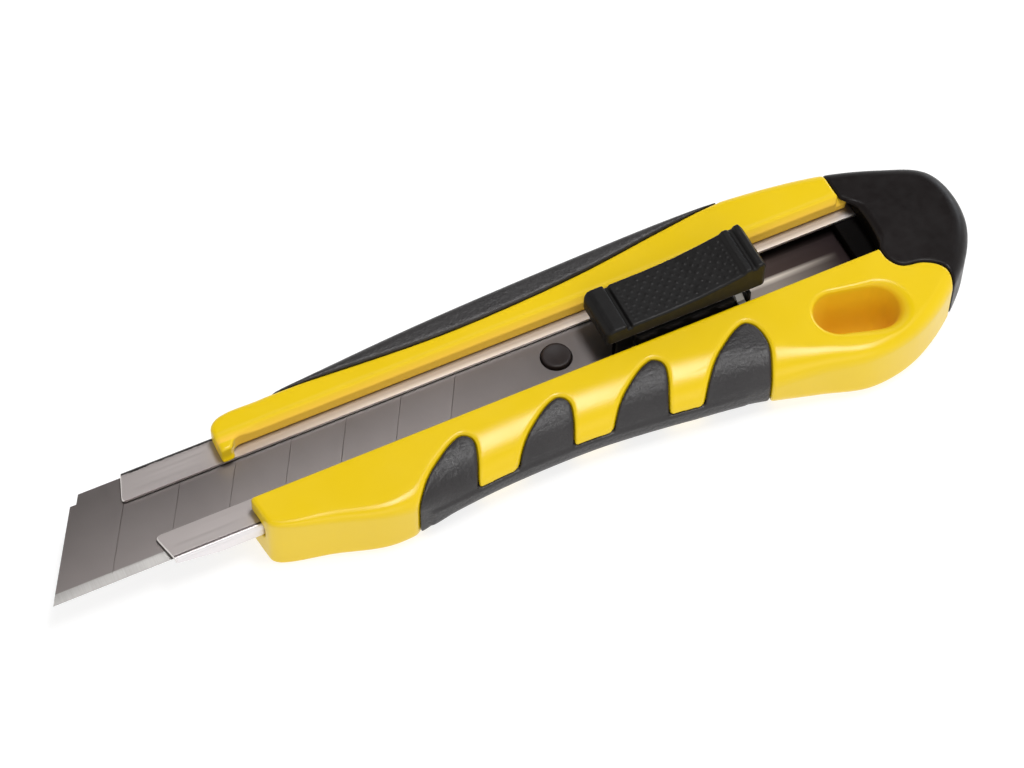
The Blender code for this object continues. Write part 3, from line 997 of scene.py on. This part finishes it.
class Finish:
    """A material put together node by node. Places are read in metres from the piece's own mesh."""

    def __init__(self, name, colour, roughness, metallic=0.0, **sockets):
        self.material = bpy.data.materials.new(name)
        self.material.use_nodes = True
        self.nodes = self.material.node_tree.nodes
        self.links = self.material.node_tree.links
        self.shader = self.nodes["Principled BSDF"]
        self.shader.inputs["Base Color"].default_value = (*colour, 1.0)
        self.shader.inputs["Roughness"].default_value = roughness
        self.shader.inputs["Metallic"].default_value = metallic
        for socket, value in sockets.items():
            self.shader.inputs[socket.replace("_", " ")].default_value = value
        self.place = self.nodes.new("ShaderNodeTexCoord").outputs["Object"]

    def join(self, value, socket):
        if hasattr(value, "links"):
            self.links.new(value, socket)
        else:
            socket.default_value = value

    def noise(self, scale, detail=3.0, stretch=(1, 1, 1), turn=0.0, rough=0.55):
        """Noise with `scale` blotches to the metre, which `stretch` multiplies along each axis."""
        mapping = self.nodes.new("ShaderNodeMapping")
        mapping.inputs["Scale"].default_value = stretch
        mapping.inputs["Rotation"].default_value = (0, 0, turn)
        self.links.new(self.place, mapping.inputs["Vector"])
        node = self.nodes.new("ShaderNodeTexNoise")
        node.inputs["Scale"].default_value = scale
        node.inputs["Detail"].default_value = detail
        node.inputs["Roughness"].default_value = rough
        self.links.new(mapping.outputs["Vector"], node.inputs["Vector"])
        return node.outputs["Fac"]

    def span(self, value, low, high, to_low, to_high):
        """Maps the range low..high of a value to another range, and holds it there."""
        node = self.nodes.new("ShaderNodeMapRange")
        ends = {"From Min": low, "From Max": high, "To Min": to_low, "To Max": to_high}
        for socket, number in ends.items():
            node.inputs[socket].default_value = number
        self.links.new(value, node.inputs["Value"])
        return node.outputs["Result"]

    def mottle(self, value, low, high, a, b):
        """Mixes two colours by how high a value is between two limits."""
        return self.mix(self.span(value, low, high, 0, 1), a, b)

    def sum(self, a, b, operation="ADD"):
        node = self.nodes.new("ShaderNodeMath")
        node.operation = operation
        self.join(a, node.inputs[0])
        self.join(b, node.inputs[1])
        return node.outputs[0]

    def both(self, a, b):
        """Where two masks meet."""
        return self.sum(a, b, "MULTIPLY")

    def mix(self, share, a, b):
        node = self.nodes.new("ShaderNodeMix")
        node.data_type = "RGBA"
        self.join(share, node.inputs["Factor"])
        self.join(a, node.inputs[6])
        self.join(b, node.inputs[7])
        return node.outputs[2]

    def axis(self, name):
        split = self.nodes.new("ShaderNodeSeparateXYZ")
        self.links.new(self.place, split.inputs[0])
        return split.outputs[name]

    def band(self, name, reach, before, after):
        """Goes from one value to the other between two places on an axis, given in millimetres."""
        return self.span(self.axis(name), reach[0] * MM, reach[1] * MM, before, after)

    def spot(self, centre, size, turn):
        """One inside an upright oval tunnel of the given middle, size and turn; zero outside."""
        mapping = self.nodes.new("ShaderNodeMapping")
        mapping.vector_type = "TEXTURE"
        mapping.inputs["Location"].default_value = [part * MM for part in centre]
        mapping.inputs["Rotation"].default_value = (0, 0, turn)
        mapping.inputs["Scale"].default_value = (size[0] / 2 * MM, size[1] / 2 * MM, 1000)
        self.links.new(self.place, mapping.inputs["Vector"])
        length = self.nodes.new("ShaderNodeVectorMath")
        length.operation = "LENGTH"
        self.links.new(mapping.outputs["Vector"], length.inputs[0])
        return self.span(length.outputs["Value"], 1.2, 1.35, 1, 0)

    def colour(self, value):
        self.links.new(value, self.shader.inputs["Base Color"])

    def roughness(self, value):
        self.links.new(value, self.shader.inputs["Roughness"])

    def bump(self, value, strength, depth):
        """Raises the surface by up to `depth` millimetres."""
        node = self.nodes.new("ShaderNodeBump")
        node.inputs["Strength"].default_value = strength
        node.inputs["Distance"].default_value = depth * MM
        self.links.new(value, node.inputs["Height"])
        before = self.shader.inputs["Normal"].links
        if before:
            self.links.new(before[0].from_socket, node.inputs["Normal"])
        self.links.new(node.outputs["Normal"], self.shader.inputs["Normal"])


def rgba(red, green, blue):
    return (red, green, blue, 1.0)


def floor_paper():
    finish = Finish("floor_paper", (0.36, 0.36, 0.36), 0.9, Specular_IOR_Level=0.1)
    pale, paler = rgba(0.35, 0.35, 0.35), rgba(0.37, 0.37, 0.37)
    finish.colour(finish.mottle(finish.noise(6), 0.3, 0.7, pale, paler))
    finish.shader.inputs["Emission Color"].default_value = rgba(1.0, 1.0, 1.0)
    finish.shader.inputs["Emission Strength"].default_value = FLOOR_GLOW
    return finish.material


def yellow_plastic():
    """Glossy plastic: slight cloudiness, a fine grain and hairline scratches, with painted shading
    on the slot's upper wall and painted shade in the hanging hole.
    """
    finish = Finish("yellow_plastic", (0.84, 0.57, 0.0), 0.30, Specular_IOR_Level=0.45)
    clouds = finish.span(finish.noise(45, 4), 0.35, 0.65, 0, 1)
    yellow = finish.mix(clouds, rgba(0.80, 0.55, 0.0), rgba(0.83, 0.575, 0.0))
    edge_y = SLOT_Y + SLOT_HALF
    # Painted shading: the slot's upper wall and its edge are tinted a deeper orange-gold, standing
    # in for how they are lit inside the slot.
    beyond = finish.band("Y", (edge_y - 0.4, edge_y - 0.2), 0, 1)
    inside = finish.both(beyond, finish.band("Z", (7, 8), 0, 1))
    wall = finish.both(inside, finish.band("Y", (edge_y + 0.1, edge_y + 1.2), 1, 0))
    dulled = finish.both(inside, finish.band("Y", (edge_y + 1.1, edge_y + 2.0), 1, 0))
    # Painted shade: the hanging hole's inner wall, below the front face, is a deeper orange.
    hole = finish.spot((*HOLE_CENTRE, 0), HOLE_SIZE, HOLE_TILT)
    recess = finish.both(hole, finish.band("Z", (10.6, 11.9), 1, 0))
    yellow = finish.mix(wall, yellow, rgba(0.92, 0.57, 0.05))
    finish.colour(finish.mix(recess, yellow, rgba(0.84, 0.50, 0.0)))
    scratches = finish.noise(900, 2, (0.03, 1.6, 1.6), turn=0.35)
    more = finish.noise(800, 2, (0.03, 1.7, 1.7), turn=-0.5)
    scratches = finish.span(scratches, 0.70, 0.78, 0, 1)
    scratched = finish.sum(scratches, finish.span(more, 0.72, 0.80, 0, 1), "MAXIMUM")
    smudges = finish.span(finish.noise(120, 5), 0.35, 0.7, 0.28, 0.34)
    marked = finish.sum(smudges, finish.sum(scratched, 0.12, "MULTIPLY"))
    dull = finish.sum(dulled, recess, "MAXIMUM")
    finish.roughness(finish.sum(marked, finish.sum(dull, 0.55, "MULTIPLY")))
    finish.bump(finish.noise(5200, 2), 0.12, 0.03)
    finish.bump(scratched, 0.04, -0.01)
    return finish.material


def grip_rubber(name, colour, lighter):
    """Soft rubber: a dull sheen broken up by a fine spark-eroded grain."""
    finish = Finish(name, colour, 0.45, Specular_IOR_Level=0.55)
    dust = finish.span(finish.noise(160, 5), 0.4, 0.75, 0, 1)
    finish.colour(finish.mix(dust, rgba(*colour), rgba(*lighter)))
    finish.roughness(finish.span(finish.noise(2600, 3), 0.3, 0.7, 0.38, 0.54))
    finish.bump(finish.noise(1300, 4), 0.85, 0.18)
    return finish.material


def hard_black(name, colour, roughness, grain, shine=0.28):
    """Hard black plastic, satin, with a few rubbed spots."""
    finish = Finish(name, colour, roughness, Specular_IOR_Level=shine)
    rubbed = finish.span(finish.noise(90, 5), 0.45, 0.8, 0, 1)
    finish.colour(finish.mix(rubbed, rgba(*colour), rgba(*(part * 1.4 + 0.001 for part in colour))))
    worn = finish.noise(700, 4)
    finish.roughness(finish.span(worn, 0.3, 0.7, roughness - 0.06, roughness + 0.08))
    finish.bump(finish.noise(3400, 3), grain, 0.04)
    return finish.material


def channel_steel():
    """Steel strip bent into a channel, brushed along its length outside; the hidden floor is
    painted dark as shade, and highlights, reflections and dark fold lines are painted on.
    """
    finish = Finish("channel_steel", (0.6, 0.57, 0.56), 0.32, 1.0)
    brushed = finish.noise(4200, 3, (0.01, 1, 1))
    stains = finish.noise(70, 5, (0.5, 1, 1))
    light, dark = rgba(0.56, 0.51, 0.50), rgba(0.51, 0.465, 0.455)
    bright = finish.mottle(stains, 0.3, 0.75, light, dark)
    # Painted highlight: the upper lip's inner edge is lightened, fading in towards the tail.
    lip_highlight = finish.both(finish.band("Y", LIP_HIGHLIGHT_Y, 1, 0), finish.band("X", LIP_HIGHLIGHT_X, 0, 1))
    lip_highlight = finish.both(lip_highlight, finish.band("Y", (SLOT_Y, SLOT_Y + 1), 0, 1))
    bright = finish.mix(lip_highlight, bright, rgba(0.95, 0.90, 0.86))
    wall_y = channel_low[1]
    # Painted reflection: the lower side wall is made pale where it would mirror the pale floor.
    side = finish.band("Y", (wall_y + 0.5, wall_y + 0.7), 1, 0)
    bright = finish.mix(side, bright, rgba(0.80, 0.77, 0.78))
    # Painted shade: a dark line along the lower fold.
    lower_fold_shade = finish.band("Y", (wall_y + 0.60, wall_y + 0.70), 0, 1)
    lower_fold_shade = finish.both(lower_fold_shade, finish.band("Y", (wall_y + 0.95, wall_y + 1.05), 1, 0))
    bright = finish.mix(lower_fold_shade, bright, rgba(0.07, 0.06, 0.06))
    # Painted dark reflection: an uneven dark line along the upper fold.
    fold = finish.sum(finish.axis("Y"), finish.sum(finish.noise(500, 4), 0.7 * MM, "MULTIPLY"))
    fold_y = channel_high[1] - 0.6
    dark_fold_reflection = finish.span(fold, fold_y * MM, (fold_y + 0.15) * MM, 0, 1)
    bright = finish.mix(dark_fold_reflection, bright, rgba(0.05, 0.045, 0.045))
    # Painted reflection: a pale band along the hidden floor, fading out towards the tail.
    rise = finish.band("Y", REFLECTION_BAND_Y[:2], 0.3, 1)
    fall = finish.band("Y", REFLECTION_BAND_Y[1:], 1, 0)
    fade = finish.band("X", REFLECTION_BAND_END_X, 1, 0)
    floor_reflection = finish.both(finish.both(rise, fall), fade)
    # Painted shade: the hidden floor under the lips is dark, darkest towards the tail.
    far = finish.band("X", FLOOR_SHADE_X, 0, 1)
    floor_shade = finish.mix(far, rgba(0.085, 0.062, 0.056), rgba(0.03, 0.021, 0.022))
    floor_shading = finish.mix(floor_reflection, floor_shade, rgba(0.80, 0.72, 0.64))
    inner = finish.sum(1.0, side, "SUBTRACT")
    hidden = finish.both(finish.band("Z", (6.6, 7.4), 1, 0), inner)
    # The painted reflection band is made mostly non-metal, so that its pale colour shows.
    dull = finish.sum(finish.both(hidden, floor_reflection), -0.8, "MULTIPLY")
    finish.links.new(finish.sum(dull, 1.0), finish.shader.inputs["Metallic"])
    finish.colour(finish.mix(hidden, bright, floor_shading))
    finish.roughness(finish.span(brushed, 0.3, 0.7, 0.38, 0.46))
    finish.bump(brushed, 0.02, 0.004)
    return finish.material


def cut_steel():
    """The strip's sheared ends, pale and dull: partly the cut steel's own look, partly painted
    light for the light that the noses' edges catch.
    """
    finish = Finish("cut_steel", (0.9, 0.86, 0.83), 0.5, 0.2)
    torn = finish.noise(3000, 3, (1, 1, 0.1))
    finish.colour(finish.mix(torn, rgba(0.92, 0.88, 0.85), rgba(0.80, 0.76, 0.73)))
    finish.bump(torn, 0.1, 0.01)
    return finish.material


def blade_faces():
    """The blade's flat faces: blued steel, finely ground, with a faint oily film."""
    finish = Finish("blade_faces", (0.4, 0.37, 0.36), 0.3, 1.0)
    ground = finish.noise(4500, 3, (1, 0.01, 1), turn=-math.radians(30))
    dark, light = rgba(0.205, 0.183, 0.178), rgba(0.235, 0.211, 0.205)
    finish.colour(finish.mottle(finish.noise(55, 4), 0.3, 0.7, dark, light))
    finish.roughness(finish.span(ground, 0.3, 0.7, 0.35, 0.41))
    finish.bump(ground, 0.012, 0.003)
    return finish.material


def blade_edge():
    """The ground cutting edge, lighter than the faces, with lines across it."""
    finish = Finish("blade_edge", (0.75, 0.73, 0.72), 0.3, 1.0)
    ground = finish.noise(4200, 2, (1, 0.03, 0.03))
    finish.colour(finish.mix(ground, rgba(0.36, 0.35, 0.34), rgba(0.30, 0.29, 0.28)))
    finish.roughness(finish.span(ground, 0.3, 0.7, 0.40, 0.50))
    finish.bump(ground, 0.03, 0.004)
    return finish.material


def spring_steel():
    # Painted glint: the spring is near white and only half metal, so that it shows as a pale glint
    # in the shade under the pad.
    finish = Finish("spring_steel", (0.8, 0.79, 0.77), 0.2, 0.5)
    rolled = finish.noise(1500, 3, (0.02, 1, 1))
    finish.colour(finish.mix(rolled, rgba(0.92, 0.91, 0.89), rgba(0.84, 0.83, 0.81)))
    finish.roughness(finish.span(rolled, 0.3, 0.7, 0.14, 0.28))
    return finish.material


# ---- assembly


def place_piece(made, materials, body, node):
    """Gives a piece its finish, hangs it on what it rides on, and hides the CAD node that it stands
    for.
    """
    made.data.materials.clear()
    for material in materials:
        made.data.materials.append(material)
    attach(made, body)
    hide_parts(node)


def finish_faces(made, chosen):
    """Gives the second finish to the faces chosen by middle, in millimetres, and normal."""
    for face in made.data.polygons:
        if chosen(face.center / MM, face.normal):
            face.material_index = 1


def inside_cap(place, normal):
    """Whether a face of the cap is in the mouth that the slot runs into, where the shade is
    painted.
    """
    in_slot = abs(place[1] - SLOT_Y) < SLOT_HALF + 0.55
    return in_slot and place[0] < CAP_MOUTH_X and place[2] < CAP_MOUTH_Z


def build():
    bpy.context.scene.view_settings.view_transform = "Standard"
    set_camera()
    set_world()
    soft_box("overhead", KEY_DIRECTION, 0.9, KEY_SIZE, KEY_POWER)
    soft_box("front", FRONT_DIRECTION, 1.0, FRONT_SIZE, FRONT_POWER)
    soft_box("rim", RIM_DIRECTION, 1.0, RIM_SIZE, RIM_POWER).data.color = RIM_COLOUR
    set_floor()
    rubber = grip_rubber("grip_rubber", (0.016, 0.014, 0.015), (0.026, 0.023, 0.024))
    cap_plastic = hard_black("cap_plastic", (0.008, 0.006, 0.006), 0.36, 0.04, shine=0.16)
    # Painted shade: the cap's mouth gets a blacker, duller copy of the cap plastic, standing in for
    # the shade there.
    cap_painted_shade = hard_black("cap_painted_shade", (0.002, 0.0015, 0.0015), 0.6, 0.05, shine=0.05)
    pad_plastic = hard_black("pad_plastic", (0.008, 0.0075, 0.0075), 0.42, 0.20, shine=0.2)
    pin_plastic = hard_black("pin_plastic", (0.020, 0.014, 0.014), 0.45, 0.05, shine=0.3)
    yellow, finger_grip, spine_grip, tail = moulded_handle()
    place_piece(yellow, [yellow_plastic()], "handle", "handle_body")
    place_piece(finger_grip, [rubber], "handle", "finger_grip")
    place_piece(spine_grip, [rubber], "handle", "spine_grip")
    place_piece(tail, [cap_plastic, cap_painted_shade], "cap", "tail_cap")
    finish_faces(tail, inside_cap)
    place_piece(thumb_pad(), [pad_plastic], "button", "thumb_pad")
    base = slider_base()
    place_piece(base, [pad_plastic, pin_plastic], "slider", "blade_carrier")
    finish_faces(base, lambda place, normal: place[0] < TONGUE_FINISH_X)
    channel = folded_channel()
    place_piece(channel, [channel_steel(), cut_steel()], "handle", "blade_channel")
    finish_faces(channel, lambda place, normal: normal[0] < -0.4)
    blade = snap_blade()
    place_piece(blade, [blade_faces(), blade_edge()], "slider", "blade")
    edge_line = blade_low[1] + BLADE_BEVEL
    finish_faces(blade, lambda place, normal: place[1] < edge_line)
    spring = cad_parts["lock_spring"]
    spring.data.materials.clear()
    spring.data.materials.append(spring_steel())


build()
